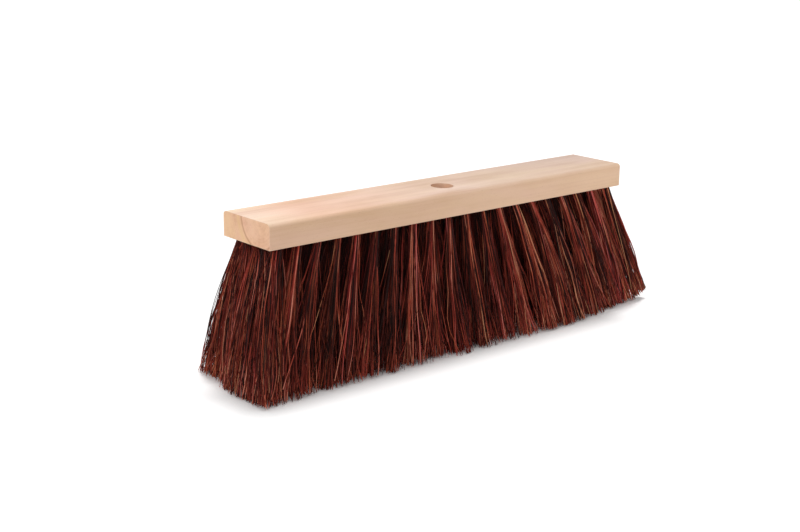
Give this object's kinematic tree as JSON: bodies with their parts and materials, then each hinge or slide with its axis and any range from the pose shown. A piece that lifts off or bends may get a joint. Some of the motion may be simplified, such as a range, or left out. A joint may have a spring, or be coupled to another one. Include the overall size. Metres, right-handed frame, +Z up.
{
  "type": "push broom head",
  "caption": "Push broom head: a flat wooden block with a leaning handle hole and five rows of stiff plant-fibre tufts that fan out to a wide sweeping edge.",
  "frame": {"origin": "on the floor under the middle of the wooden block, with the bristle tips standing on Z = 0", "axes": "+X along the block's length, -Y towards the front that the handle hole leans to, +Z up"},
  "size_m": [0.5818, 0.1272, 0.17],
  "materials": {
    "beech_wood": "planed, bare wood with a fine straight grain along the block",
    "plant_fibre": "stiff dyed plant fibre, red-brown with dark and tan strands",
    "anchor_wire": "drawn flat wire"
  },
  "bodies": {
    "root": {"block": "beech_wood", "tufts_row_1_left": "plant_fibre", "tufts_row_1_right": "plant_fibre", "tufts_row_2_left": "plant_fibre", "tufts_row_2_right": "plant_fibre", "tufts_row_3_left": "plant_fibre", "tufts_row_3_right": "plant_fibre", "tufts_row_4_left": "plant_fibre", "tufts_row_4_right": "plant_fibre", "tufts_row_5_left": "plant_fibre", "tufts_row_5_right": "plant_fibre", "anchors_row_1_left": "anchor_wire", "anchors_row_1_right": "anchor_wire", "anchors_row_2_left": "anchor_wire", "anchors_row_2_right": "anchor_wire", "anchors_row_3_left": "anchor_wire", "anchors_row_3_right": "anchor_wire", "anchors_row_4_left": "anchor_wire", "anchors_row_4_right": "anchor_wire", "anchors_row_5_left": "anchor_wire", "anchors_row_5_right": "anchor_wire"}
  },
  "joints": []
}
